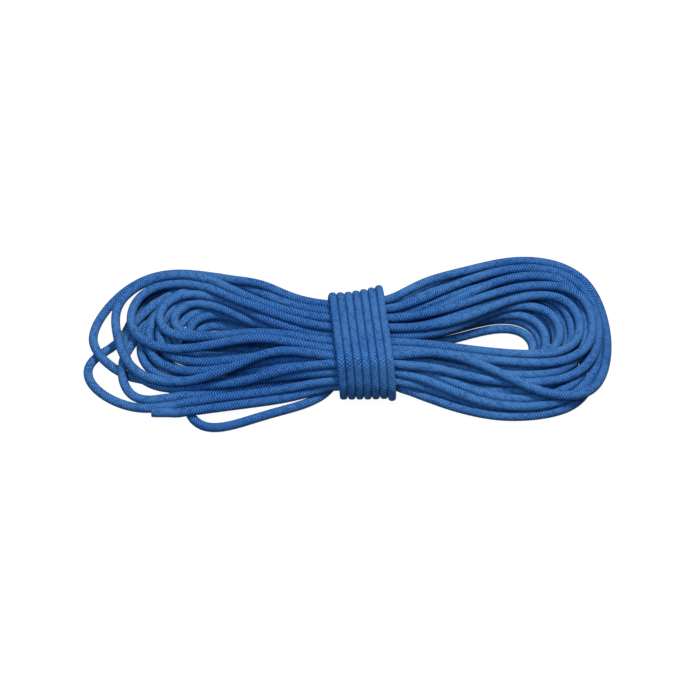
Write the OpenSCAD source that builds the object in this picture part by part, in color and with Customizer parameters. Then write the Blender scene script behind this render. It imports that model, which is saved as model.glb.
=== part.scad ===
// Dynamic climbing rope, wound into a hank and tied round the waist with its own end.
// Millimetres. +X runs along the hank, +Y to its back, +Z up. The origin is on the
// surface that the hank lies on, under the middle of the waist wrap.
// The rope is one length: front tail, hank loops, wrap lead, waist wrap, back tail.

/* [Rope] */
// Diameter of the rope
rope_d = 9.8; // [8.5:0.1:11]
// Thickness of the braided sheath
sheath_t = 1; // [0.8:0.1:1.4]
// Diameter of one core strand
strand_d = 2.5; // [1.8:0.1:2.5]
// Length of the sealed end that shows its sheath and core
end_l = 30; // [20:1:36]
// Thickness of the melted seal on a rope end
seal_t = 1.6; // [1:0.1:2.5]

/* [Hank] */
// Reach of the right lobe, from the origin to its outer edge
right_reach = 270; // [240:1:340]
// Width of the right lobe
right_w = 198; // [186:1:240]
// Reach of the left lobe's main loops, from the origin to their outer edge
left_reach = 273; // [255:1:340]
// Width of the left lobe
left_w = 164; // [162:1:200]
// How much longer the left lobe's loops are nested apart at its tip than at its sides
left_slack = 4.2; // [2:0.1:6]
// Loops side by side in one layer
loops_in_layer = 5; // [4:1:5]
// Layers of loops, one on another
layers = 4; // [2:2:4]
// Gap between neighbouring strands, square across them
strand_gap = 0.85; // [0.7:0.05:1.2]
// Gap between one layer and the next
layer_gap = 0.8; // [0.7:0.05:1.2]

/* [Waist wrap] */
// Turns round the waist
wrap_turns = 7; // [4:1:7]
// Width of the rope in the wrap, where its turns press on each other
wrap_rope_w = 8.6; // [7.5:0.1:9.8]
// Gap between neighbouring turns
wrap_gap = 0.55; // [0.5:0.05:1.2]
// Gap between the wrap and the strands that it holds
wrap_seat = 0.6; // [0.5:0.05:1]
// How far a turn leans along the hank, from its back to its front
wrap_lean = 9; // [0:0.5:12]

/* [Hidden] */

rope_r = rope_d / 2;
flat_r = rope_r * cos(30);        // centre of a six-sided strand to its flat side
floor_z = flat_r - rope_d / 10;   // centre of a strand that lies on the surface, cut flat there
waist_right = 45;                 // the strands run straight this far to the right
waist_left = 57;                  // and this far to the left
// The runs lean away from the waist, so their strands are further apart along Y
square_step = rope_d + strand_gap;
run_lean = atan((right_w / 2 - rope_r - loops_in_layer * square_step)
    / (right_reach - right_w / 2 - waist_right));
step = square_step / cos(run_lean);
waist_step = step + 0.2;
layer_step = 2 * flat_r + layer_gap;

// What passes under the waist, and under the left lobe's front, lifts the strands there
wrap_off = rope_r + wrap_seat + flat_r;
lift_h = wrap_off;
lift_from = 50;
lift_to = 150;

// Plan of the loops: straight at the waist, round at the tips
rings = 24;                       // rings in one loop or turn
arc_segs = 7;                     // segments round a lobe's tip
tip_lane = loops_in_layer - 0.25;  // outermost lane, at a lobe's tip
waist_first = (rope_d + 0.6 - waist_step / 2) / 2;
right_r0 = right_w / 2 - rope_r - loops_in_layer * step;
right_x = right_reach - rope_r - (right_r0 + tip_lane * step) * cos(90 / arc_segs);
left_r0 = left_w / 2 - rope_r - loops_in_layer * step;
left_tip_r0 = left_r0 + 2;
left_tip_step = step + left_slack;
left_x = left_reach - rope_r - (left_tip_r0 + tip_lane * left_tip_step) * cos(90 / arc_segs);
loose_reach = 6;                  // how much further the lowest loop reaches, on the left
last_ring = (loops_in_layer * layers - 1) * rings + 13;

function smooth(t) = let (c = min(max(t, 0), 1)) c * c * (3 - 2 * c);
function mix(a, b, t) = a + (b - a) * t;
function total(v) = len(v) == 0 ? 0 : v * [for (x = v) 1];

// Turns wound so far at ring i, which is a whole number at the front of the waist
function wound(i) = (i - 0.5) / rings;
// Lane in a layer, in strands out from the innermost: out and in at a steady rate
function lane(v) = let (two = 2 * loops_in_layer, m = v - two * floor(v / two))
    abs(loops_in_layer - m);
// Layers climbed so far, each in the half turn where the spiral reverses
function climbed(v) = total([for (k = [1 : layers - 1])
    smooth((v - k * loops_in_layer + 0.25) / 0.5)]);

// Half width of a loop at x, between the waist and a lobe
function run_y(x, q) = let (left = x < 0, edge = left ? waist_left : waist_right)
    mix(waist_first + q * waist_step, (left ? left_r0 : right_r0) + q * step,
        smooth((abs(x) - edge) / ((left ? left_x : right_x) - edge)));
// Where the rings of a run lie, from its left end to its right end
run_x = [-left_x, -(waist_left + left_x) / 2, -waist_left, waist_right,
         (waist_right + right_x) / 2, right_x];
// Plan of ring k of a turn, on lane q: front run, right tip, back run, left tip
function plan(k, q) =
    k <= 3 ? [run_x[k + 2], -run_y(run_x[k + 2], q)]
    : k < 10 ? let (a = -90 + 180 * (k - 3) / arc_segs, r = right_r0 + q * step)
        [right_x + r * cos(a), r * sin(a)]
    : k <= 15 ? [run_x[15 - k], run_y(run_x[15 - k], q)]
    : k < 22 ? let (a = 90 + 180 * (k - 15) / arc_segs)
        [-left_x + (left_tip_r0 + q * left_tip_step) * cos(a), (left_r0 + q * step) * sin(a)]
    : [run_x[k - 22], -run_y(run_x[k - 22], q)];
// The left lobe's front rides on the wrap lead, and the waist on the wrap
function lift(k, x) = lift_h * max(smooth((k - 16) / 4),
    1 - smooth((abs(x) - lift_from) / (lift_to - lift_from)));
function hank_point(i) = let (k = i % rings, v = wound(i), p = plan(k, lane(v)),
        loose = v > 0.5 && v < 1 ? loose_reach * pow(sin(360 * (v - 0.5)), 2) : 0)
    [p[0] - loose, p[1], floor_z + layer_step * climbed(v) + lift(k, p[0])];

// Both ends lie where the strands still run straight
hank_start = hank_point(0) + [rope_d + 1, 0, 0];
hank_end = hank_point(last_ring) + [rope_d + 1, 0, 0];
hank_route = concat([hank_start], [for (i = [1 : last_ring - 1]) hank_point(i)], [hank_end]);

// Waist wrap: a leaning coil of rounded rectangles round the bundle of strands
front_y = -waist_first - loops_in_layer * waist_step;
back_y = waist_first + (loops_in_layer - 0.48) * waist_step;
low_z = floor_z + lift_h;
high_z = low_z + (layers - 1) * layer_step;
wrap_pitch = wrap_rope_w + wrap_gap;
wrap_middle = ceil(wrap_turns / 2);
corner_a = 30;                    // three segments round each corner
wrap_first = 1;                   // the wrap starts and stops under the bundle
wrap_last = wrap_turns * rings + 3;
// Centre in [y, z] and outward angle at ring k of a turn: under, back, over, front
function wrap_section(k) =
    k <= 4 ? [mix(front_y, back_y, k / 4), low_z - wrap_off, 270]
    : k < 7 ? corner(back_y, low_z, corner_a * (k - 4) - 90)
    : k <= 9 ? [back_y + wrap_off, mix(low_z, high_z, (k - 7) / 2), 0]
    : k < 12 ? corner(back_y, high_z, corner_a * (k - 9))
    : k <= 16 ? [mix(back_y, front_y, (k - 12) / 4), high_z + wrap_off, 90]
    : k < 19 ? corner(front_y, high_z, corner_a * (k - 16) + 90)
    : k <= 21 ? [front_y - wrap_off, mix(high_z, low_z, (k - 19) / 2), 180]
    : corner(front_y, low_z, corner_a * (k - 21) + 180);
function corner(y, z, a) = [y + wrap_off * cos(a), z + wrap_off * sin(a), a];
function wrap_x(i, y) = wrap_pitch * ((i - 2) / rings - wrap_middle)
    - wrap_lean * y / (back_y - front_y);
function wrap_point(i) = let (s = wrap_section(i % rings)) [wrap_x(i, s[0]), s[0], s[1]];
wrap_start = wrap_point(wrap_first) - [0, rope_d, 0];
wrap_end = wrap_point(wrap_last) + [0, rope_d, 0];

// Routes of the free stretches. The lead leaves the top of the hank, goes round the left
// lobe, dips under its front, bows out on the surface and comes back to the wrap.
lead_route = concat(
    [hank_end, hank_end - [rope_d, 0, 0]],
    [[-92, 58, 37], [-116, 64, 35], [-142, 70, 33], [-168, 75, 31], [-194, 77, 28],
     [-220, 74, 24], [-244, 65, 19], [-266, 50, 13], [-282, 31, 7], [-291, 10, 3.3],
     [-290, -10, 3.3], [-277, -26, 3.3], [-256, -36, 3.3], [-233, -47, 3.3],
     [-212, -61, 3.3], [-196, -78, 3.3], [-182, -94, 3.3], [-162, -99, 3.3],
     [-140, -95, 3.3], [-118, -87, 3.3], [-96, -79, 3.3], [-74, -73, 3.3],
     [-54, -70, 3.3], [-40, -62, 3.3]],
    [wrap_start - [0, rope_d, 0], wrap_start]);
// The front tail ends bluntly beside the left lobe's front
front_tail_end = [-190, -84, low_z];
front_tail_route = concat(
    [front_tail_end, front_tail_end + [rope_d, 0, 0]],
    [[-158, -83, low_z], [-132, -78, low_z], [-106, -71, low_z], [-80, -62, low_z]],
    [hank_start - [rope_d, 0, 0], hank_start]);
// The back tail leaves the wrap under the waist and lies behind the right lobe
back_tail_end = [128, 105, rope_r];
back_tail_route = concat(
    [wrap_end, wrap_end + [0, rope_d, 0]],
    [[30, 60, 3.3], [44, 78, 3.6], [66, 90, 4], [92, 99, 4.5]],
    [back_tail_end - [rope_d, 0, 0], back_tail_end]);
tail_sides = 8;

// Section of a strand at c: six sides, flat side down, and cut flat at the surface
function strand_ring(c, side) = let (cut = max(0, flat_r - c[2]), w = rope_r / 2 + cut * tan(30))
    [for (p = [[-w, cut - flat_r], [w, cut - flat_r], [rope_r, 0], [rope_r / 2, flat_r],
               [-rope_r / 2, flat_r], [-rope_r, 0]])
        [c[0] + side[0] * p[0], c[1] + side[1] * p[0], c[2] + p[1]]];
// Section of a wrap turn: six sides, narrowed by its neighbours, one flat side out
function wrap_ring(c, a) = let (cut = max(0, flat_r - c[2]), w = wrap_rope_w / 2,
        out = [cos(a), sin(a)], low = a == 270, w_out = w / 2 + (low ? cut * tan(30) * w / rope_r : 0))
    [for (p = [[-w_out, low ? flat_r - cut : flat_r], [w_out, low ? flat_r - cut : flat_r],
               [w, 0], [w / 2, -flat_r], [-w / 2, -flat_r], [-w, 0]])
        [c[0] + p[0], c[1] + out[0] * p[1], max(0, c[2] + out[1] * p[1])]];
// Section of a free stretch: round, and cut flat at the surface
function tail_ring(c, side) = [for (j = [0 : tail_sides - 1])
    let (a = 360 * (j + 0.5) / tail_sides)
    [c[0] + side[0] * rope_r * cos(a), c[1] + side[1] * rope_r * cos(a),
     max(0, c[2] + rope_r * sin(a))]];
// The level direction across a route at its point i. Its two ends run straight.
function across(route, i) = let (n = len(route) - 1,
        d = i <= 1 ? route[1] - route[0] : i >= n - 1 ? route[n] - route[n - 1]
            : route[i + 1] - route[i - 1])
    [-d[1], d[0]] / norm([d[0], d[1]]);

// A closed tube through rings that all have the same number of points
module tube(tube_rings) {
    sides = len(tube_rings[0]);
    n = len(tube_rings);
    polyhedron(
        points = [for (r = tube_rings) for (p = r) p],
        faces = concat(
            [for (i = [0 : n - 2]) for (j = [0 : sides - 1])
                let (a = i * sides + j, b = i * sides + (j + 1) % sides) [a, b, b + sides]],
            [for (i = [0 : n - 2]) for (j = [0 : sides - 1])
                let (a = i * sides + j, b = i * sides + (j + 1) % sides) [a, b + sides, a + sides]],
            [for (j = [1 : sides - 2]) [0, j + 1, j]],
            [for (j = [1 : sides - 2]) let (o = (n - 1) * sides) [o, o + j, o + j + 1]]));
}

// Gap between a strand at p and one whose centre line runs from a to b, across the flats
function flat_gap(p, a, b) = let (ab = b - a,
        t = min(max((p - a) * ab / (ab * ab), 0), 1),
        d = a + t * ab - p, h = norm([d[0], d[1]]), z = abs(d[2]))
    max(z, h * cos(30) + z * sin(30)) - 2 * flat_r;
// Least gap of a route to itself, at its points and half way between them
function least_gap(route) = min([for (i = [0 : len(route) - 2]) for (half = [0, 1])
    let (p = half == 0 ? route[i] : (route[i] + route[i + 1]) / 2)
    for (j = [i + 4 : len(route) - 2])
        let (a = route[j], b = route[j + 1])
        if (abs(a[2] - p[2]) < 20 && min(abs(a[0] - p[0]), abs(b[0] - p[0])) < 95
            && min(abs(a[1] - p[1]), abs(b[1] - p[1])) < 60)
            flat_gap(p, a, b)]);
function route_length(route) = total([for (i = [1 : len(route) - 1]) norm(route[i] - route[i - 1])]);

// Main loops of the hank, one unbroken strand
module hank_loops() {
    last = len(hank_route) - 1;
    color("royalblue")
        tube([for (i = [0 : last]) strand_ring(hank_route[i],
            i == 0 ? [0, 1] : i == last ? [0, -1] : across(hank_route, i))]);
}
// Turns of the rope round the waist
module waist_wrap() {
    color("steelblue")
        tube(concat(
            [wrap_ring(wrap_start, 270)],
            [for (i = [wrap_first : wrap_last]) wrap_ring(wrap_point(i), wrap_section(i % rings)[2])],
            [wrap_ring(wrap_end, 270)]));
}
// A free stretch of the rope
module stretch(route) {
    tube([for (i = [0 : len(route) - 1]) tail_ring(route[i], across(route, i))]);
}
module wrap_lead() {
    color("mediumblue") stretch(lead_route);
}
module front_tail() {
    color("mediumblue") stretch(front_tail_route);
}
module back_tail() {
    color("mediumblue") stretch(back_tail_route);
}

// Sealed rope end along +Z from its own origin: sheath, core strands and melted seal
module end_sheath() {
    difference() {
        cylinder(h = end_l, r = rope_r, $fn = 48);
        translate([0, 0, -1])
            cylinder(h = end_l + 2, r = rope_r - sheath_t, $fn = 48);
    }
}
module core_strand(h) {
    cylinder(h = h, d = strand_d, $fn = 24);
}
module end_core() {
    strand_fit = 0.05;
    ring_r = rope_r - sheath_t - strand_d / 2 - strand_fit;
    count = floor(180 / asin(min(1, (strand_d + strand_fit) / 2 / ring_r)));
    for (i = [0 : count - 1])
        rotate([0, 0, 360 * i / count])
            translate([ring_r, 0, 0])
                core_strand(end_l);
    if (ring_r >= strand_d + strand_fit)
        core_strand(end_l);
}
module end_seal() {
    rim = min(0.8, seal_t / 2);
    rotate_extrude($fn = 48)
        polygon(concat(
            [[0, 0], [rope_r, 0]],
            [for (a = [0 : 15 : 90]) [rope_r - rim + rim * cos(a), seal_t - rim + rim * sin(a)]],
            [[0, seal_t + 0.3]]));
}
module at_front_end(along = 0) {
    translate(front_tail_end - [along, 0, 0]) rotate([0, -90, 0]) children();
}
module at_back_end(along = 0) {
    translate(back_tail_end + [along, 0, 0]) rotate([0, 90, 0]) children();
}
module front_tail_sheath() {
    color("royalblue") at_front_end() end_sheath();
}
module front_tail_core() {
    color("white") at_front_end() end_core();
}
module front_tail_seal() {
    color("midnightblue") at_front_end(end_l) end_seal();
}
module back_tail_sheath() {
    color("royalblue") at_back_end() end_sheath();
}
module back_tail_core() {
    color("white") at_back_end() end_core();
}
module back_tail_seal() {
    color("midnightblue") at_back_end(end_l) end_seal();
}

wrap_route = concat([wrap_start], [for (i = [wrap_first : wrap_last]) wrap_point(i)], [wrap_end]);
// Turns of the wrap face each other across their narrowed width
wrap_own_gap = wrap_pitch * cos(atan(wrap_lean / (back_y - front_y))) - wrap_rope_w;
echo(hank_least_gap = least_gap(hank_route), wrap_least_gap = wrap_own_gap,  // hank_loops
         hank_length = route_length(hank_route), wrap_length = route_length(wrap_route),
         lead_length = route_length(lead_route),
         tails_length = route_length(front_tail_route) + route_length(back_tail_route) + 2 * end_l);

hank_loops();
waist_wrap();
wrap_lead();
front_tail();
back_tail();
front_tail_sheath();
front_tail_core();
front_tail_seal();
back_tail_sheath();
back_tail_core();
back_tail_seal();
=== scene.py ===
"""Looks of a dynamic climbing rope, wound into a hank and tied round the waist with its own end.

The whole rope is one line. Its loops are laid out from a few sizes, then settled under gravity
against each other, the floor and the waist, and a braided tube is drawn along the result.
Lengths are in millimetres up to the meshes, which are in metres.
"""
import math

import bpy
import numpy as np
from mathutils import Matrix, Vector


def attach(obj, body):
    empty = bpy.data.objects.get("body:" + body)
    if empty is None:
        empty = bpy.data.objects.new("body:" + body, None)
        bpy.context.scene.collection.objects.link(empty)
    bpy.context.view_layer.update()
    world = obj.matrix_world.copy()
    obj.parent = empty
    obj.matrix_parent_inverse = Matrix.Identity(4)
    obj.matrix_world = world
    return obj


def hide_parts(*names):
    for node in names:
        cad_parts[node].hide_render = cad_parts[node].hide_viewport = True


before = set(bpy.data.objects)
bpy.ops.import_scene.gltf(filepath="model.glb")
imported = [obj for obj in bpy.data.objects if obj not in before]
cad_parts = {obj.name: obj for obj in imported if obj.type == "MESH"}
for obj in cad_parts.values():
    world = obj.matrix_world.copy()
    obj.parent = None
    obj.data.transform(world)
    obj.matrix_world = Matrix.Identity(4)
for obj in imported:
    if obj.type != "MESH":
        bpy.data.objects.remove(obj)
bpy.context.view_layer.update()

MM = 0.001               # metres in a millimetre


# ---------------------------------------------------------------- camera

PICTURE = 700            # the photo's width, in pixels
PIXEL = 1.09             # millimetres in one of its pixels, at the hank's middle
OFF_MIDDLE = (-12, -3)   # pixels from the hank's middle to the picture's
ELEVATION = 54           # the camera's angle above the floor, in degrees
DISTANCE = 1.42          # from the camera to the hank, in metres
TARGET = (0, 0.0, 0.015)
SENSOR = 36


def add_camera():
    angle = math.radians(ELEVATION)
    back = Vector((0, -math.cos(angle), math.sin(angle)))
    data = bpy.data.cameras.new("camera")
    data.sensor_width = SENSOR
    data.lens = SENSOR * DISTANCE / (PICTURE * PIXEL * MM)
    data.shift_x, data.shift_y = (off / PICTURE for off in OFF_MIDDLE)
    data.clip_start, data.clip_end = 0.05, 20
    camera = bpy.data.objects.new("camera", data)
    camera.location = Vector(TARGET) + back * DISTANCE
    camera.rotation_mode = "QUATERNION"
    camera.rotation_quaternion = (-back).to_track_quat("-Z", "Y")
    bpy.context.scene.collection.objects.link(camera)
    bpy.context.scene.camera = camera


# ---------------------------------------------------------------- sizes of the rope and its hank

D = 9.8                  # rope diameter
R = D / 2
SPACING = 5.4            # from one point of the rope's line to the next, while it settles
WAIST_X = 36             # the waist's straight stretch, to each side
WAIST_Y = -2.0           # middle of the waist
PACK = 9.7               # from strand to strand in the waist
ROW = 0.868 * PACK       # from one row of strands to the next
LAYER_Z = (R, 13.4, 21.9, 30.4)   # heights of the layers in the right lobe
LOW_ROW = D + R          # height of the lowest row in the waist, on the wrap
MIDDLE_ROW = 1.5         # the waist's middle height, in rows
WAIST_HALF = (54.5, MIDDLE_ROW * ROW + 1.5)   # half axes that the strands' centres keep to there
WAIST_POWER = 5          # exponent of that section: 2 is an ellipse
WAIST_TAPER = 0.09       # how fast it widens towards +X, behind
TAPER_END = 50           # as far to each side as it does so
OPENING = (35, 28)       # from how far to the side on, and over what length, it opens out
OPENED_BY = (40, 60)     # how much its half axes grow there
RUN_X = 38               # where a lobe's runs start
RUN_STEPS = (0.25, 0.5, 0.75)   # a run's points, as shares of its length
TIP_HALF = 23            # least half width of a lobe's tip
TIP_LONG = 1.02          # a tip's length, in half widths
TIP_START = 90           # least distance from the waist's middle to a tip's start
LEFT_SKEW = 0.28         # how far the left tips reach out in front, in half widths
TIP_POWER = (0.8, 0.7)   # exponents of the right tips in front and behind: 1 is an ellipse
FRONT_SPREAD = 0.8       # exponent of how the right lobe's front runs spread: under 1 is soon
BACK_SPREAD = (1.5, 1.7)   # of how its inner back runs spread, late, and its outer ones, soon
OUTER = (10, 30)         # how far behind the waist's middle outer ones begin, and over what width
WRAP_TURNS = 7
WRAP_PITCH = 8.6         # from turn to turn: the rope is pressed narrower there
WRAP_MIDDLE = 3.75       # turns from the wrap's start to x = 0
WRAP_END = 0.17          # of a turn more than WRAP_TURNS, to where the back tail starts
WRAP_LEAN = 9.0          # how far a turn leans along X, from the wrap's back to its front
WRAP_DEPTH = 110.0       # from its back to its front
TURN_POINTS = 96         # in a turn's outline
TURN_REACH = 9           # how far to each side a turn feels the strands that it holds

# The rope's two straight ends, as in the CAD, and the back tail's way to its end
FRONT_END = [(-220.0, -84.0, 13.0), (-205.0, -84.0, 13.0), (-190.0, -84.0, 13.0)]
FRONT_TAIL = FRONT_END + [(-160, -78, 12.5), (-130, -73, 12), (-100, -68, 12), (-74, -64, 12)]
BACK_END = [(128.0, 105.0, 4.9), (143.0, 105.0, 4.9), (158.0, 105.0, 4.9)]
BACK_TAIL = [(30.5, 22, 4.9), (31.5, 40, 4.9), (38, 60, 4.9), (52, 79, 4.9), (74, 94, 4.9),
             (100, 102, 4.9)] + BACK_END
WRAP_START = (-29.0, -41.0, 4.9)


# ---------------------------------------------------------------- lines

def smooth(t):
    """0 up to t = 0 and 1 from t = 1, with a smooth step between."""
    t = np.clip(t, 0, 1)
    return t * t * (3 - 2 * t)


def lengths(line):
    """From each point of a line to the next."""
    return np.linalg.norm(np.diff(line, axis=0), axis=1)


def spaced(line, step):
    """The line again, with its points about step apart."""
    along = along_line(line)
    at = np.linspace(0, along[-1], int(round(along[-1] / step)) + 1)
    return np.stack([np.interp(at, along, line[:, k]) for k in range(3)], axis=1)


def along_line(line):
    """How far along the line each of its points is."""
    return np.concatenate([[0], np.cumsum(lengths(line))])


def spline(points, step, n=14):
    """A smooth line through the points, worked out at n places between each two of them."""
    p = np.array(points, float)
    p = np.vstack([2 * p[0] - p[1], p, 2 * p[-1] - p[-2]])
    t = np.linspace(0, 1, n, endpoint=False)[:, None]
    parts = []
    for a, b, c, d in zip(p[:-3], p[1:-2], p[2:-1], p[3:]):
        parts.append(0.5 * (2 * b + (c - a) * t + (2 * a - 5 * b + 4 * c - d) * t ** 2
                            + (3 * b - a - 3 * c + d) * t ** 3))
    return spaced(np.concatenate(parts + [p[-2][None]]), step)


# ---------------------------------------------------------------- how the loops lie

def waist_slots():
    """For each loop from the lowest to the highest: its layer and lane in the right lobe, and
    its row and distance from the middle in the waist, in front and behind."""
    def row(r, first, count):
        return [(r, R + PACK * (first + i)) for i in range(count)]

    low = row(0, 0, 5) + row(1, 4.5, 1) + row(0, 5, 1)
    second = row(1, 0.5, 4) + row(2, 3, 2)
    third = row(2, 0, 3) + row(3, 3.5, 1)
    top = row(3, 0.5, 4)
    behind = [(3, R + PACK * lane) for lane in (0.5, 1.8, 3.1, 4.4)]
    order = [(0, k, low[k], low[k]) for k in (6, 5, 4, 3, 2, 1, 0)]
    order += [(1, k, second[k], second[k]) for k in range(6)]
    order += [(2, 3, top[3], behind[2])] + [(2, k, third[k], third[k]) for k in (2, 1, 0)]
    order += [(3, k, top[k], behind[k]) for k in range(2)] + [(3, 2, top[2], behind[3])]
    return order


def right_lanes():
    """Right lobe, by layer and lane: how far a loop reaches, and the (y, z) of its front and
    back runs."""
    z = LAYER_Z
    low = [(190 + 10.6 * k, (-22 - 10.3 * k, z[0]), (34.4 + 10.6 * k, z[0])) for k in range(7)]
    # the two innermost loops leave the eye open, and a gap between their back runs
    low[0] = (187, low[0][1], (32, z[0]))
    low[1] = (196,) + low[1][1:]
    backs = [(45, z[1]), (60, z[1]), (76, z[1]), (93, z[1]), (85, z[2]), (101, z[2])]
    second = [(200 + 11.6 * k, (-27 - 9.9 * k, z[1]), back) for k, back in enumerate(backs)]
    reaches = [(214, (51, z[2])), (228, (68, z[2])), (244, (86, z[3])), (257, (98, z[3]))]
    third = [(reach, (-22 - 9.9 * k, z[2]), back) for k, (reach, back) in enumerate(reaches)]
    top = [(236, (-21, z[3]), (59, z[3])), (249, (-32, z[3]), (73, z[3]))]
    return [low, second, third, top]


# The last loop crosses over the others in front, and lies outside them behind
CROSSING = [(61, -27, 45), (83, -27, 43), (104, -31, 40), (125, -38, 36), (146, -46, 32),
            (167, -56, 27), (188, -63, 22), (210, -66, 17), (232, -62, 14), (248, -51, 13),
            (259, -33, 14), (265, -11, 16), (267, 10, 19), (264, 36, 22), (258, 58, 25),
            (250, 76, 28), (238, 90, 30), (217, 102, 31), (197, 108, 31), (176, 109, 31),
            (156, 106, 31), (134, 98, 33), (111, 88, 36), (86, 79, 38), (64, 70, 40),
            (46, 57, 41)]


def lobe(sign, reach, front, back, waist_front, waist_back):
    """Points of half a loop, from its front waist round a lobe to its back waist. front and
    back are the (y, z) of its two runs, and each waist is the (y, z) that a run starts from.
    The right lobe has squarer tips than the left one, whose tips reach further in front."""
    right = sign > 0
    half, middle = (back[0] - front[0]) / 2, (back[0] + front[0]) / 2
    wide = max(half, TIP_HALF)
    round_r = min(TIP_LONG * wide, reach - TIP_START)
    cx = reach - round_r

    def on_run(t, share, waist, run):
        """The point at t of the way along a run, and share of the way out from its waist."""
        return (sign * (RUN_X + t * (cx - RUN_X)), waist[0] + (run[0] - waist[0]) * share,
                waist[1] + (run[1] - waist[1]) * share)

    out = [on_run(t, float(smooth(t ** FRONT_SPREAD if right else t)), waist_front, front)
           for t in RUN_STEPS]
    for a in range(-90, 91, 30):
        c, d = math.cos(math.radians(a)), math.sin(math.radians(a))
        power = TIP_POWER[a > 0] if right else 1
        y = wide * math.copysign(abs(d) ** power, d)
        skew = 0 if right else LEFT_SKEW * y
        out.append((sign * (cx + round_r * c ** power) + skew, middle + y,
                    front[1] + (back[1] - front[1]) * float(smooth((a + 90) / 180))))
    for t in RUN_STEPS[::-1]:
        share = float(smooth(t))
        if right:          # the outer strands spread at once, the inner ones stay together longer
            outer = min(1.0, max(0.0, (waist_back[0] - WAIST_Y - OUTER[0]) / OUTER[1]))
            late, soon = share ** BACK_SPREAD[0], 1 - (1 - t) ** BACK_SPREAD[1]
            share = (1 - outer) * late + outer * soon
        out.append(on_run(t, share, waist_back, back))
    return out


# Left halves that are drawn after the photo, by the loop's number from the lowest, each
# from the back of the pile round its tip to the front: two low stragglers, and the four on top
LEFT = {
    0: [(-100, 72, 6), (-150, 98, 5), (-190, 98, 5), (-225, 89, 5), (-246, 70, 5), (-257, 50, 5),
        (-261, 28, 5), (-264, 10, 5), (-275, 1, 5), (-287, -2, 5), (-295, -8, 5), (-299, -17, 5),
        (-298, -26, 5), (-291, -39, 5), (-281, -50, 5), (-270, -59, 5), (-258, -66, 6),
        (-247, -72, 7), (-230, -77, 9), (-213, -78, 12), (-187, -72, 13), (-156, -66, 13),
        (-110, -60, 15), (-70, -57, 19)],
    1: [(-100, 62, 6), (-150, 88, 5), (-190, 87, 5), (-218, 79, 5), (-237, 64, 5), (-246, 46, 5),
        (-250, 24, 7), (-253, 4, 11), (-256, -14, 15), (-257, -30, 15), (-255, -46, 9),
        (-248, -57, 5), (-240, -64, 7), (-225, -68, 11), (-204, -66, 13), (-172, -57, 12),
        (-115, -50, 10), (-75, -47, 12)],
    15: [(-89, 16, 34), (-122, 28, 30), (-145, 42, 27), (-169, 54, 24), (-183, 58, 22),
         (-197, 55, 21), (-205, 46, 20), (-207, 33, 20), (-202, 21, 20), (-188, 13, 21),
         (-160, 9, 25), (-121, 8, 31), (-89, 4, 36)],
    16: [(-89, 14, 40), (-111, 25, 36), (-128, 40, 33), (-151, 52, 31), (-175, 62, 29),
         (-191, 61, 28), (-207, 55, 27), (-217, 46, 27), (-222, 31, 27), (-219, 17, 27),
         (-208, 8, 28), (-175, 2, 32), (-148, 2, 36), (-120, 0, 40), (-88, -4, 44)],
    17: [(-67, 11, 45), (-100, 23, 40), (-122, 35, 37), (-151, 55, 33), (-180, 72, 30),
         (-198, 79, 28), (-214, 82, 26), (-233, 78, 24), (-243, 70, 23), (-251, 57, 22),
         (-254, 39, 22), (-251, 24, 22), (-244, 8, 23), (-233, -3, 24), (-220, -10, 26),
         (-201, -15, 29), (-185, -13, 32), (-157, -12, 37), (-131, -9, 41), (-99, -8, 45)],
    18: [(-78, 26, 45), (-111, 42, 41), (-151, 62, 38), (-181, 76, 35), (-208, 84, 31),
         (-238, 83, 26), (-257, 74, 22), (-270, 58, 21), (-273, 46, 22), (-270, 31, 23),
         (-264, 11, 24), (-259, -10, 25), (-252, -28, 24), (-237, -42, 23), (-210, -51, 23),
         (-187, -52, 26), (-155, -48, 33), (-119, -35, 40), (-85, -25, 46)],
}
# The last loop's way from the waist's back, down the back of the pile, round its tip, under
# the left lobe's front, round the slack bight and back under the waist
LEAD = [(-68, 41, 38), (-102, 61, 35), (-124, 71, 33), (-153, 81, 30), (-182, 92, 26),
        (-200, 97, 23), (-223, 98, 20), (-246, 94, 16), (-264, 83, 12), (-280, 65, 9),
        (-288, 54, 7), (-293, 40, 6), (-296, 24, 7), (-294, 8, 12), (-288, -6, 15),
        (-278, -17, 12), (-267, -24, 7), (-254, -29, 5), (-238, -35, 5), (-220, -42, 5),
        (-200, -50, 5), (-187, -60, 5), (-184, -72, 5), (-184, -82, 5), (-180, -91, 5),
        (-171, -97, 5), (-157, -97, 5), (-139, -93, 5), (-118, -87, 5), (-98, -79, 5),
        (-77, -73, 5), (-55, -65, 5), (-40, -54, 5)]
LEAD_IN_BUNDLE = 8       # of these points, from the first on, still run with the bundle


def left_lobe(layer, lane, rng, waist_front, waist_back):
    """A left half that isn't drawn by hand, from its back waist to its front waist."""
    outward = lane + (0, 0.5, 0.9)[layer]
    reach = 184 + 12.2 * outward + rng.uniform(-4, 4)
    z = R + ROW * layer
    back = (34 + 10 * lane, 47 + 9 * lane, 57 + 9 * lane)[layer]
    return lobe(-1, reach, (10 - 11.7 * outward, z), (back, z), waist_front, waist_back)[::-1]


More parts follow.
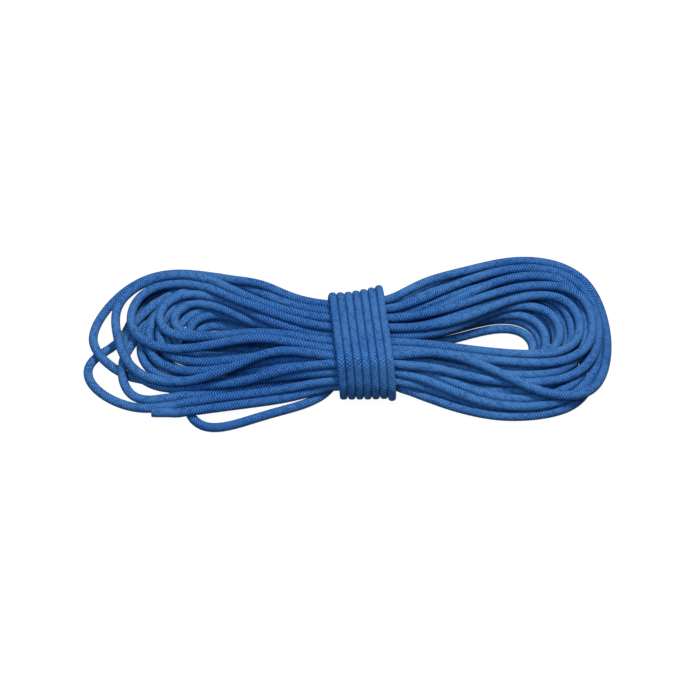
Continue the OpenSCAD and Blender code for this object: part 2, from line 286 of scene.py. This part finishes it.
def whole_plan():
    """Points of the rope from its front end to the start of the wrap, and the index of the
    first one that isn't in the bundle any more."""
    rng = np.random.default_rng(4)
    right, order = right_lanes(), waist_slots()

    def at_waist(side, slot):
        """(y, z) of a slot, in front of the waist's middle (-1) or behind it (1)."""
        row, off = slot
        return WAIST_Y + side * off, LOW_ROW + ROW * row

    pts = list(FRONT_TAIL)
    for i, (layer, lane, front, back) in enumerate(order):
        last = i + 1 == len(order)
        front, back = at_waist(-1, front), at_waist(1, back)
        pts += [(x,) + front for x in (-WAIST_X, 0, WAIST_X)]
        pts += CROSSING if last else lobe(1, *right[layer][lane], front, back)
        pts += [(x,) + back for x in (WAIST_X, 0, -WAIST_X)]
        if not last:
            pts += LEFT[i] if i in LEFT else left_lobe(
                layer, lane, rng, at_waist(-1, order[i + 1][2]), back)
    return pts + LEAD + [WRAP_START], len(pts) + LEAD_IN_BUNDLE


# ---------------------------------------------------------------- settling

ROUNDS = 400
SWEEPS = 3               # over lengths and contacts, in a round
SEARCH_EVERY = 6         # rounds, after which strands near each other are found again
NEAR = 1.4 * D           # from the middle of such a strand to the other's
GROW = 0.2               # share of their thickness that the strands lack at first
GROWN = 0.3              # share of the rounds until they have all of it
PRESSED = 0.985          # of a diameter from strand to strand where they touch
FALL = (0.06, 0.02)      # in a round, first and later
FALL_SLOWS = 0.7         # share of the rounds after which the second holds
PULL = (0.06, 0.03)      # share of the way to its plan that the rope is pulled in a round
PULL_SLOWS = 0.8         # share of the rounds after which the second holds
STIFF = (0.5, 0.25)      # how strongly it straightens over near points, and over far ones
SHARED = 0.45            # a point's pushes, added up, are divided by this times their number
NEAR_TAIL = (25, 48, 22)   # strands beyond this x and y, and below this z, may touch the tail


def near_pairs(p, reach, skip=5):
    """Pairs of points nearer than reach that aren't neighbours on the rope."""
    order = np.argsort(p[:, 0], kind="stable")
    x = p[order]
    first, second = [], []
    for k in range(1, len(x)):
        i = np.nonzero(x[k:, 0] - x[:-k, 0] < reach)[0]
        if not len(i):
            break
        i = i[((x[i + k] - x[i]) ** 2).sum(1) < reach * reach]
        a, b = order[i], order[i + k]
        ok = np.abs(a - b) > skip
        first.append(a[ok])
        second.append(b[ok])
    return np.concatenate(first), np.concatenate(second)


def keep_lengths(p, move, seg):
    """Draws neighbours on the rope together or apart to their first distance."""
    for odd in (0, 1):
        a = np.arange(odd, len(p) - 1, 2)
        b = a + 1
        d = p[b] - p[a]
        ln = np.linalg.norm(d, axis=1)
        w = np.maximum(move[a] + move[b], 1e-9)
        c = ((ln - seg[a]) / ln / w)[:, None] * d
        p[a] += c * move[a, None]
        p[b] -= c * move[b, None]


def part_strands(p, move, first, second, least):
    """Pushes the pairs of points apart that are nearer than least."""
    n = len(p)
    d = p[first] - p[second]
    ln = np.sqrt((d * d).sum(1)) + 1e-9
    hit = ln < least
    i, j, d, ln = first[hit], second[hit], d[hit], ln[hit]
    c = (0.5 * (least - ln) / ln)[:, None] * d
    many = np.maximum(1, SHARED * (np.bincount(i, minlength=n) + np.bincount(j, minlength=n)))
    for k in range(3):
        p[:, k] += move * (np.bincount(i, c[:, k], n) - np.bincount(j, c[:, k], n)) / many


def keep_off(p, still, least):
    """Pushes strands off the back tail's points, which lie still."""
    x, y, z = NEAR_TAIL
    i = np.nonzero((p[:, 0] > x) & (p[:, 1] > y) & (p[:, 2] < z))[0]
    d = p[i, None] - still[None]
    ln = np.sqrt((d * d).sum(2))
    j = ln.argmin(1)
    d, ln = d[np.arange(len(i)), j], ln.min(1)[:, None]
    p[i] += d * np.maximum(least - ln, 0) / ln


def hold_waist(p, free):
    """Draws the bundle's strands in to the waist's section, which opens out beyond the wrap."""
    opening = smooth((np.abs(p[:, 0]) - OPENING[0]) / OPENING[1])
    taper = WAIST_TAPER * np.clip(p[:, 0], -TAPER_END, TAPER_END)
    y, z = p[:, 1] - WAIST_Y - taper, p[:, 2] - LOW_ROW - MIDDLE_ROW * ROW
    half_y = WAIST_HALF[0] + taper + OPENED_BY[0] * opening
    half_z = WAIST_HALF[1] + OPENED_BY[1] * opening
    e = (np.abs(y / half_y) ** WAIST_POWER + np.abs(z / half_z) ** WAIST_POWER) ** (1 / WAIST_POWER)
    out = (e > 1) & (opening < 1) & free
    f = np.where(out, 0.5 + 0.5 / np.maximum(e, 1), 1)
    p[:, 1] = np.where(out, WAIST_Y + taper + y * f, p[:, 1])
    p[:, 2] = np.where(out, LOW_ROW + MIDDLE_ROW * ROW + z * f, p[:, 2])


def straighten(p, move, step, strength):
    """Draws points towards the smooth curve through the ones step and 2 * step away."""
    n, far = len(p), 2 * step
    curve = (4 * (p[step:n - 3 * step] + p[3 * step:n - step])
             - (p[:-2 * far] + p[2 * far:])) / 6
    p[far:-far] += strength * (curve - p[far:-far]) * move[far:-far, None]


def settle(line, fixed, bundled, still):
    """Lets the rope settle: weight, a pull to its plan, stiffness, length, contacts, the floor
    and the tied waist. The strands grow to their full thickness in the first rounds."""
    p = line.copy()
    seg = lengths(line)
    move = np.ones(len(line))
    move[fixed] = 0
    for it in range(ROUNDS):
        share = it / ROUNDS
        least = PRESSED * D * (1 - GROW + GROW * float(smooth(share / GROWN)))
        p[:, 2] -= move * FALL[share >= FALL_SLOWS]
        p += (move * PULL[share >= PULL_SLOWS])[:, None] * (line - p)
        straighten(p, move, 1, STIFF[0])
        straighten(p, move, 3, STIFF[1])
        if it % SEARCH_EVERY == 0:
            first, second = near_pairs(p, NEAR)
        for _ in range(SWEEPS):
            keep_lengths(p, move, seg)
            part_strands(p, move, first, second, least)
            keep_off(p, still, least)
            hold_waist(p, bundled & (move > 0))
            p[:, 2] = np.where(move > 0, np.maximum(p[:, 2], R), p[:, 2])
    return p


# ---------------------------------------------------------------- wrap

def hull(points):
    """Convex hull of points in a plane, anticlockwise."""
    pts = sorted(map(tuple, points))

    def half(seq):
        out = []
        for q in seq:
            while len(out) > 1 and ((out[-1][0] - out[-2][0]) * (q[1] - out[-2][1])
                                    - (out[-1][1] - out[-2][1]) * (q[0] - out[-2][0])) <= 0:
                out.pop()
            out.append(q)
        return out[:-1]
    return np.array(half(pts) + half(pts[::-1]))


def round_hull(points, off, count, start_y):
    """The hull's outline pushed out by off, as count points from the underside at start_y
    towards +Y, up the back, over the top and down the front."""
    h = hull(points)
    out = []
    for i in range(len(h)):
        a, b, c = h[i - 1], h[i], h[(i + 1) % len(h)]
        t0 = math.atan2(b[1] - a[1], b[0] - a[0]) - math.pi / 2
        t1 = math.atan2(c[1] - b[1], c[0] - b[0]) - math.pi / 2
        turn = (t1 - t0) % (2 * math.pi)
        for s in np.linspace(0, 1, max(2, int(turn / 0.12) + 2)):
            t = t0 + turn * s
            out.append((b[0] + off * math.cos(t), b[1] + off * math.sin(t)))
    out = np.array(out)
    for _ in range(3):
        out = (np.roll(out, 1, 0) + 2 * out + np.roll(out, -1, 0)) / 4
    low = np.nonzero(out[:, 1] < out[:, 1].min() + 3)[0]
    first = low[np.argmin(np.abs(out[low, 0] - start_y))]
    ring = np.roll(out, -first, axis=0)
    ring = np.vstack([ring, ring[:1]])
    flat = np.column_stack([ring, np.zeros(len(ring))])
    return spaced(flat, lengths(ring).sum() / count)[:-1, :2]


def wrap_line(p, bundled):
    """The turns round the waist, drawn tight round the strands that they hold."""
    shapes = []
    for turn in range(WRAP_TURNS + 2):
        x = WRAP_PITCH * (turn + 0.5 - WRAP_MIDDLE)
        near = bundled & (np.abs(p[:, 0] - x) < TURN_REACH)
        shapes.append(round_hull(p[near][:, 1:], R + R, TURN_POINTS, WRAP_START[1]))
    out = []
    for i in range(int(TURN_POINTS * (WRAP_TURNS + WRAP_END))):
        turn, j = divmod(i, TURN_POINTS)
        t = j / TURN_POINTS
        yz = shapes[turn][j] * (1 - t) + shapes[turn + 1][j] * t
        lean = -WRAP_LEAN * (yz[0] - WAIST_Y) / WRAP_DEPTH
        x = WRAP_PITCH * (i / TURN_POINTS - WRAP_MIDDLE) + lean
        out.append((x, yz[0], max(yz[1], R)))
    return np.array(out)


# ---------------------------------------------------------------- the whole rope's line

RING = 1.5               # from ring to ring of the tube, half a bump of the braid
END_STRAIGHT = 30        # length of the front end that stays as in the CAD
FIRST_CUT_X = -46        # where the front tail ends, as it comes to the waist
WRAP_SPACING = 3.0       # from one point of the wrap's line to the next
AT_MARK = 3              # a stretch ends at the first point nearer than this to its mark


def settled_rope():
    """The settled line from the front end to the wrap, the wrap's line, and the index in the
    first one where the rope leaves the bundle."""
    pts, leaves_at = whole_plan()
    line = spline(pts, SPACING)
    n = len(line)
    loose = int(np.argmin(np.linalg.norm(line - np.array(pts[leaves_at], float), axis=1)))
    bundled = np.arange(n) < loose
    straight = int(END_STRAIGHT / SPACING) + 1
    fixed = np.concatenate([np.arange(straight), np.arange(n - 2, n)])
    p = settle(line, fixed, bundled, spline(BACK_TAIL[2:], SPACING))
    return p, wrap_line(p, bundled), loose


def whole_rope():
    """The rope from end to end with a point every RING, and the indices of its stretches' ends:
    front tail, hank, lead, wrap and back tail."""
    settled, wrap, loose = settled_rope()
    tail = spline([tuple(wrap[-2]), tuple(wrap[-1])] + BACK_TAIL, SPACING)[1:]
    wrap = spaced(wrap, WRAP_SPACING)
    raw = np.concatenate([settled[:-1], wrap, tail])
    first_waist = int(np.argmax(np.abs(settled[:, 0] - FIRST_CUT_X) < 4))
    marks = (first_waist, loose, len(settled) - 1, len(settled) + len(wrap) - 2)
    line = spline(raw, RING, n=10)
    for _ in range(3):
        line[1:-1] = (line[:-2] + 2 * line[1:-1] + line[2:]) / 4
    line = spaced(line, RING)
    line[:, 2] = np.maximum(line[:, 2], R)
    cuts = [0]
    for mark in marks:
        d = np.linalg.norm(line[cuts[-1]:] - raw[mark], axis=1)
        cuts.append(cuts[-1] + int(np.nonzero(d < AT_MARK)[0][0]))
    return line, cuts + [len(line) - 1]


# ---------------------------------------------------------------- tubes

SIDES = 20               # of the tube, two for each bump of the braid
RELIEF = 0.4             # how far a bump stands up
SINK = 0.04              # how far the bumps' middle height lies under the rope's radius
SQUARE = 2.9             # exponent of the pressed section in the wrap: 2 is round
NARROW = 0.125           # share of its width that the rope loses there
PRESS_FADE = 30          # length over which it changes from round to pressed
END_FADE = 4             # length at the rope's ends over which the bumps fade out
GIRTH = math.pi * D * MM
STRIP_SHAPE = 1.25       # girths to a row, in the square that the strips for baking fill
STRIP_HIGH = 0.8         # share of its row's height that a strip fills
STRIP_WIDE = 0.98        # share of the square's width that a strip fills
CAP_DOT = 0.002          # radius of an end face in that square
CAP_V = (0.3, 0.7)       # how high in it the two end faces lie


def frames(line):
    """Two directions across the line at each of its points, that don't turn about it."""
    t = np.gradient(line, axis=0)
    t /= np.linalg.norm(t, axis=1)[:, None]
    n = np.zeros_like(line)
    side = np.cross(t[0], (0, 0, 1))
    n[0] = side / np.linalg.norm(side)
    for i in range(1, len(line)):
        v = n[i - 1] - t[i] * (n[i - 1] @ t[i])
        n[i] = v / np.linalg.norm(v)
    return t, n, np.cross(t, n)


def tube_points(line, directions, squeeze, bumps):
    """Points round the line, ring by ring. Bumps stand up where bumps is 1, and the rope has
    the wrap's pressed section where squeeze is 1."""
    t, n, b = directions
    i = np.arange(len(line))[:, None]
    j = np.arange(SIDES)[None]
    angle = 2 * math.pi * j / SIDES
    level = RELIEF * np.where((i + j) % 2 == 0, 0.5, -0.5) * bumps[:, None]
    radius = R - SINK + level
    off = ((np.cos(angle) * radius)[..., None] * n[:, None]
           + (np.sin(angle) * radius)[..., None] * b[:, None])
    # pressed, the rope is narrower along X and stands higher
    wide = np.array([1.0, 0, 0]) - t * t[:, :1]
    wide /= np.maximum(np.linalg.norm(wide, axis=1), 0.3)[:, None]
    pressed = squeeze[:, None]
    across = (off * wide[:, None]).sum(2)
    up = off - across[..., None] * wide[:, None]
    high = np.linalg.norm(up, axis=2)
    size = (np.abs(across / R) ** SQUARE + (high / R) ** SQUARE) ** (1 / SQUARE)
    full = 1 + pressed * (1 / np.maximum(size, 0.7) - 1)
    off = ((across * full * (1 - NARROW * pressed))[..., None] * wide[:, None]
           + up * full[..., None])
    return line[:, None] + off


def tube_faces(count):
    """The faces between count rings, and then the two end faces."""
    ring = np.arange(count - 1)[:, None] * SIDES
    j = np.arange(SIDES)[None]
    after = (j + 1) % SIDES
    quads = np.stack([ring + j, ring + after, ring + SIDES + after, ring + SIDES + j], axis=2)
    first, last = list(range(SIDES)), [(count - 1) * SIDES + k for k in range(SIDES)]
    return quads.reshape(-1, 4).tolist() + [first[::-1], last]


def corners(u0, u1, v0, v1):
    """UVs of the faces between rings, corner by corner."""
    return np.stack([np.stack([u0, v0], 2), np.stack([u0, v1], 2), np.stack([u1, v1], 2),
                     np.stack([u1, v0], 2)], axis=2).reshape(-1, 2)


def braid_uv(along):
    """Metres along the rope and round it, for the sheath's pattern."""
    u0 = np.repeat(along[:-1, None], SIDES, 1)
    u1 = np.repeat(along[1:, None], SIDES, 1)
    v0 = np.repeat(np.arange(SIDES)[None] * GIRTH / SIDES, len(along) - 1, 0)
    ends = np.zeros((2 * SIDES, 2))
    ends[:, 0] = np.repeat([along[0], along[-1]], SIDES)
    return np.concatenate([corners(u0, u1, v0, v0 + GIRTH / SIDES), ends])


def bake_uv(along):
    """The tube in strips, one above another in a square, and its end faces at the side."""
    count = len(along) - 1
    rows = max(1, math.ceil(math.sqrt((along[-1] - along[0]) / (GIRTH * STRIP_SHAPE))))
    per = math.ceil(count / rows)
    row = (np.arange(count) // per)[:, None] * np.ones((1, SIDES))
    start = (np.arange(count) % per)[:, None] / per * np.ones((1, SIDES))
    u0, u1 = ((1 - STRIP_WIDE) / 2 + STRIP_WIDE * t for t in (start, start + 1 / per))
    j = np.arange(SIDES)[None]
    v0, v1 = ((row + (1 - STRIP_HIGH) / 2 + STRIP_HIGH * k / SIDES) / rows for k in (j, j + 1))
    ends = np.zeros((2 * SIDES, 2))
    turn = 2 * math.pi * np.arange(SIDES) / SIDES
    for k, v in enumerate(CAP_V):
        ends[k * SIDES:(k + 1) * SIDES, 0] = 2 * CAP_DOT + CAP_DOT * np.cos(turn)
        ends[k * SIDES:(k + 1) * SIDES, 1] = v + CAP_DOT * np.sin(turn)
    return np.concatenate([corners(u0, u1, v0, v1), ends])


def tube(name, points, along):
    """A tube through rings of points, as a mesh with the UV maps 'braid' and 'OFBake'. along is
    how far along the rope each ring is, in metres."""
    mesh = bpy.data.meshes.new(name)
    mesh.from_pydata((points.reshape(-1, 3) * MM).tolist(), [], tube_faces(len(points)))
    mesh.polygons.foreach_set("use_smooth", np.ones(len(mesh.polygons), bool))
    for layer, uv in (("braid", braid_uv(along)), ("OFBake", bake_uv(along))):
        mesh.uv_layers.new(name=layer).data.foreach_set("uv", uv.astype(np.float32).ravel())
    mesh.uv_layers["braid"].active_render = True
    mesh.validate()
    mesh.update()
    obj = bpy.data.objects.new(name, mesh)
    bpy.context.scene.collection.objects.link(obj)
    return obj


# ---------------------------------------------------------------- materials

class Nodes:
    """Short calls for building a material."""

    def __init__(self, name):
        self.material = bpy.data.materials.new(name)
        self.material.use_nodes = True
        self.tree = self.material.node_tree
        self.shader = self.tree.nodes["Principled BSDF"]

    def add(self, kind, **inputs):
        node = self.tree.nodes.new(kind)
        for key, value in inputs.items():
            self.set(node, key, value)
        return node

    def set(self, node, key, value):
        """Joins a socket to an input, or gives the input a value."""
        socket = node.inputs[key]
        if isinstance(value, bpy.types.NodeSocket):
            self.tree.links.new(value, socket)
        else:
            socket.default_value = value

    def math(self, operation, *values):
        node = self.tree.nodes.new("ShaderNodeMath")
        node.operation = operation
        for k, value in enumerate(values):
            self.set(node, k, value)
        return node.outputs[0]

    def mix(self, share, a, b):
        """Colour a, or b as far as share says."""
        node = self.tree.nodes.new("ShaderNodeMix")
        node.data_type = "RGBA"
        for k, value in ((0, share), (6, a), (7, b)):
            self.set(node, k, value)
        return node.outputs[2]

    def tint(self, colour, share, strength, other):
        """The colour with some of another, at most strength of it where share is 1."""
        return self.mix(self.math("MULTIPLY", share, strength), colour, other)

    def ramp(self, value, low, high):
        """0 up to low and 1 from high, with a smooth step between."""
        node = self.tree.nodes.new("ShaderNodeMapRange")
        node.interpolation_type = "SMOOTHSTEP"
        for k, v in enumerate((value, low, high, 0.0, 1.0)):
            self.set(node, k, v)
        return node.outputs[0]

    def place(self):
        """Where a point is on its object, in metres."""
        return self.tree.nodes.new("ShaderNodeTexCoord").outputs["Object"]

    def noise(self, place, scale, detail=2.0):
        return self.add("ShaderNodeTexNoise", Vector=place, Scale=scale,
                        Detail=detail).outputs["Fac"]

    def relief(self, height, strength, depth):
        """Makes the surface look raised by height times depth, in metres."""
        bump = self.add("ShaderNodeBump", Height=height, Strength=strength, Distance=depth)
        self.set(self.shader, "Normal", bump.outputs[0])


TURN = 2 * math.pi
FILAMENT_U = 0.00042     # metres from wave to wave of the filaments, along the rope
FILAMENT_V = 0.00055     # and round it
# Colours of the sheath
# painted shade: the dark blue down in the crevices between the yarn bumps
CREVICE_SHADE_BLUE = (0.0002, 0.009, 0.110, 1)
YARN_BLUE = (0.040, 0.162, 0.410, 1)
FADED_BLUE = (0.090, 0.232, 0.460, 1)
BLOTCH_BLUE = (0.016, 0.088, 0.310, 1)
STRAY_BLUE = (0.002, 0.032, 0.170, 1)
# wear on the raised yarns, and a painted highlight on them
WEAR_AND_HIGHLIGHT_BLUE = (0.155, 0.325, 0.530, 1)


def braid_pattern(m, u, v):
    """For the bump of the braid at u, v: 1 on it down to -1 beside it, 1 or 0 for the side that
    its yarn leans to, and a random number."""
    a = m.math("MULTIPLY", u, TURN / (2 * RING * MM))
    b = m.math("MULTIPLY", v, TURN / (GIRTH * 2 / SIDES))
    column = m.math("ROUND", m.math("DIVIDE", b, TURN))
    right = m.math("COMPARE", m.math("MODULO", column, 2.0), 0.0, 0.5)
    slant = m.math("MULTIPLY_ADD", right, 2.0, -1.0)
    phase = m.math("MULTIPLY_ADD", slant, b, a)
    row = m.math("ROUND", m.math("DIVIDE", phase, TURN))
    cell = m.add("ShaderNodeCombineXYZ", X=row, Y=column)
    stray = m.add("ShaderNodeTexWhiteNoise", Vector=cell.outputs[0])
    return m.math("COSINE", phase), right, stray.outputs["Value"]


def filaments(m, u, v, right):
    """Waves that lean to one side on one set of bumps, and to the other side on the other."""
    along = m.math("MULTIPLY", u, TURN / FILAMENT_U)
    across = m.math("MULTIPLY", v, TURN / FILAMENT_V)
    one, other = (m.math("SINE", m.math(way, along, across)) for way in ("ADD", "SUBTRACT"))
    return m.math("ADD", m.math("MULTIPLY", one, right),
                  m.math("MULTIPLY", other, m.math("SUBTRACT", 1.0, right)))


def sheath_material():
    """Braided polyamide: bumps of yarn in a twill of diamonds, with painted shade between them,
    fine filaments, a few darker yarns, wear and a painted highlight on the bumps, blotches
    and faint fading."""
    m = Nodes("rope_sheath")
    uv = m.tree.nodes.new("ShaderNodeUVMap")
    uv.uv_map = "braid"
    split = m.add("ShaderNodeSeparateXYZ", Vector=uv.outputs[0])
    u, v = split.outputs[0], split.outputs[1]
    bump, right, stray = braid_pattern(m, u, v)
    place = m.place()
    grain = m.noise(place, 900.0, 3.0)
    patch = m.noise(place, 9.0, 3.0)
    blotch = m.noise(place, 60.0)
    # the yarn's blue, with painted shade darkening it towards the crevices between the bumps
    colour = m.mix(m.ramp(bump, -0.7, 0.6), CREVICE_SHADE_BLUE, YARN_BLUE)
    colour = m.mix(m.ramp(patch, 0.3, 0.72), colour, m.mix(0.35, colour, FADED_BLUE))
    colour = m.tint(colour, m.ramp(blotch, 0.5, 0.8), 0.3, BLOTCH_BLUE)
    colour = m.tint(colour, m.ramp(stray, 0.55, 1.0), 0.55, STRAY_BLUE)
    # wear and a painted highlight on the tops of the bumps, broken up by the grain
    wear_and_highlight = m.math("MULTIPLY", m.ramp(bump, 0.5, 1.0), m.ramp(grain, 0.42, 0.7))
    colour = m.tint(colour, wear_and_highlight, 0.4, WEAR_AND_HIGHLIGHT_BLUE)
    yarn = m.math("MULTIPLY", bump, 0.6)
    fibres = m.math("ADD", m.math("MULTIPLY", filaments(m, u, v, right), 0.22),
                    m.math("MULTIPLY", grain, 0.35))
    m.relief(m.math("ADD", yarn, fibres), 0.6, 0.00025)
    m.set(m.shader, "Base Color", colour)
    m.set(m.shader, "Roughness", m.math("MULTIPLY_ADD", m.ramp(grain, 0.2, 0.8), 0.22, 0.55))
    m.set(m.shader, "Sheen Weight", 0.02)
    m.set(m.shader, "Sheen Roughness", 0.4)
    m.set(m.shader, "Sheen Tint", (0.55, 0.75, 1.0, 1.0))
    m.set(m.shader, "Specular IOR Level", 0.05)
    return m.material


def seal_material():
    """Sheath that was melted shut: dark, uneven and half glossy."""
    m = Nodes("melted_end")
    place = m.place()
    lump = m.noise(place, 420.0, 3.0)
    streak = m.noise(place, 1500.0)
    colour = m.mix(m.ramp(lump, 0.35, 0.7), (0.010, 0.030, 0.085, 1), (0.028, 0.085, 0.210, 1))
    colour = m.tint(colour, m.ramp(streak, 0.55, 0.8), 0.4, (0.006, 0.010, 0.022, 1))
    m.relief(m.math("ADD", lump, m.math("MULTIPLY", streak, 0.3)), 0.6, 0.0004)
    m.set(m.shader, "Base Color", colour)
    m.set(m.shader, "Roughness", m.math("MULTIPLY_ADD", m.ramp(streak, 0.3, 0.7), 0.3, 0.3))
    return m.material


def core_material():
    """Twisted white core yarn, with painted shade in the grooves of its twist."""
    m = Nodes("core_yarn")
    place = m.place()
    split = m.add("ShaderNodeSeparateXYZ", Vector=place)
    lay = m.math("ADD", m.math("MULTIPLY", split.outputs[0], 2400.0),
                 m.math("MULTIPLY", split.outputs[2], 3600.0))
    twist = m.math("SINE", lay)
    fuzz = m.noise(place, 2500.0)
    # painted shade: greyer down in the grooves of the twist, white on its ridges
    colour = m.mix(m.ramp(twist, -1.0, 0.6), (0.55, 0.53, 0.48, 1), (0.86, 0.85, 0.81, 1))
    colour = m.tint(colour, fuzz, 0.3, (0.70, 0.68, 0.62, 1))
    m.relief(m.math("ADD", twist, fuzz), 0.7, 0.0003)
    m.set(m.shader, "Base Color", colour)
    m.set(m.shader, "Roughness", 0.8)
    return m.material


def paint(obj, material):
    if not obj.material_slots:
        obj.data.materials.append(material)
    for slot in obj.material_slots:
        slot.material = material


# ---------------------------------------------------------------- stage

FLOOR_HALF = 6.0         # metres from the floor's middle to its sides
FLOOR_Z = -0.0002        # just under the rope, in metres
WHITE = (1, 1, 1, 1)


def floor_material():
    """Dull grey to the light that falls on it, and white to the camera, as in the photo."""
    m = Nodes("floor")
    grain = m.noise(m.place(), 2.0)
    m.set(m.shader, "Base Color", m.mix(grain, (0.09, 0.09, 0.092, 1), (0.11, 0.11, 0.11, 1)))
    m.set(m.shader, "Roughness", 0.9)
    m.set(m.shader, "Specular IOR Level", 0.1)
    path = m.tree.nodes.new("ShaderNodeLightPath")
    glow = m.add("ShaderNodeEmission", Color=WHITE, Strength=0.95)
    plain = m.add("ShaderNodeEmission", Color=WHITE, Strength=0.0)
    sees = m.math("MAXIMUM", path.outputs["Is Camera Ray"], path.outputs["Is Glossy Ray"])
    which = m.tree.nodes.new("ShaderNodeMixShader")
    both = m.tree.nodes.new("ShaderNodeAddShader")
    for k, socket in enumerate((sees, plain.outputs[0], glow.outputs[0])):
        m.tree.links.new(socket, which.inputs[k])
    for k, node in enumerate((m.shader, which)):
        m.tree.links.new(node.outputs[0], both.inputs[k])
    m.tree.links.new(both.outputs[0], m.tree.nodes["Material Output"].inputs[0])
    return m.material


def add_floor():
    mesh = bpy.data.meshes.new("floor")
    s = FLOOR_HALF
    mesh.from_pydata([(-s, -s, 0), (s, -s, 0), (s, s, 0), (-s, s, 0)], [], [(0, 1, 2, 3)])
    mesh.materials.append(floor_material())
    floor = bpy.data.objects.new("floor", mesh)
    floor.location.z = FLOOR_Z
    bpy.context.scene.collection.objects.link(floor)


def add_world():
    """A faint blue light from all round, and white behind the floor to the camera."""
    world = bpy.data.worlds.new("studio")
    bpy.context.scene.world = world
    world.use_nodes = True
    tree = world.node_tree
    back = tree.nodes["Background"]
    back.inputs[0].default_value = (0.45, 0.70, 1, 1)
    back.inputs[1].default_value = 0.04
    path = tree.nodes.new("ShaderNodeLightPath")
    white = tree.nodes.new("ShaderNodeBackground")
    white.inputs[0].default_value = WHITE
    white.inputs[1].default_value = 1.0
    either = tree.nodes.new("ShaderNodeMath")
    either.operation = "MAXIMUM"
    for k, ray in enumerate(("Is Camera Ray", "Is Glossy Ray")):
        tree.links.new(path.outputs[ray], either.inputs[k])
    mix = tree.nodes.new("ShaderNodeMixShader")
    for k, node in enumerate((either, back, white)):
        tree.links.new(node.outputs[0], mix.inputs[k])
    tree.links.new(mix.outputs[0], tree.nodes["World Output"].inputs[0])


def add_lights():
    """A warm key from behind at the right, and a cool fill that turns the shadows blue."""
    for name, place, size, power, tint in (
            ("key", (0.45, 0.35, 1.85), 0.45, 44.0, (1.0, 0.95, 0.90)),
            ("fill", (-0.5, -0.8, 1.8), 1.3, 27.0, (0.55, 0.82, 1.0))):
        data = bpy.data.lights.new(name, "AREA")
        data.shape, data.size, data.energy, data.color = "DISK", size, power, tint
        lamp = bpy.data.objects.new(name, data)
        lamp.location = place
        lamp.rotation_mode = "QUATERNION"
        lamp.rotation_quaternion = (-Vector(place)).to_track_quat("-Z", "Y")
        bpy.context.scene.collection.objects.link(lamp)


# ---------------------------------------------------------------- the rope

# Its stretches from the front end on: name, how many pieces it is cut into, the nodes that it
# stands for, the ones on its far end, and how it lies
STRETCHES = [
    ("front_tail_rope", 1, ("front_tail", "front_tail_sheath"),
     ["front_tail_seal", "front_tail_core"], "loose"),
    ("hank_rope", 6, ("hank_loops",), (), "coiled"),
    ("lead_rope", 1, ("wrap_lead",), (), "loose"),
    ("wrap_rope", 1, ("waist_wrap",), (), "coiled"),
    ("back_tail_rope", 1, ("back_tail", "back_tail_sheath"),
     ["back_tail_seal", "back_tail_core"], "loose"),
]


def add_rope():
    line, cuts = whole_rope()
    directions = frames(line)
    along = along_line(line)
    squeeze = (smooth((along - along[cuts[3]]) / PRESS_FADE)
               * smooth((along[cuts[4]] - along) / PRESS_FADE))
    bumps = smooth(along / END_FADE) * smooth((along[-1] - along) / END_FADE)
    points = tube_points(line, directions, squeeze, bumps)
    sheath = sheath_material()
    for (name, pieces, stands_for, on_end, lay), a, b in zip(STRETCHES, cuts, cuts[1:]):
        for k in range(pieces):
            lo, hi = a + (b - a) * k // pieces, a + (b - a) * (k + 1) // pieces
            part = slice(lo, hi + 1)
            obj = tube(name if pieces == 1 else f"{name}_{k + 1}", points[part],
                       (along * MM)[part])
            paint(obj, sheath)
            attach(obj, "root")
            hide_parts(*stands_for)
    for node, material in (("seal", seal_material()), ("core", core_material())):
        for end in ("front_tail", "back_tail"):
            paint(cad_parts[f"{end}_{node}"], material)


bpy.context.scene.view_settings.view_transform = "Standard"
add_camera()
add_rope()
add_floor()
add_world()
add_lights()

bpy.context.view_layer.update()
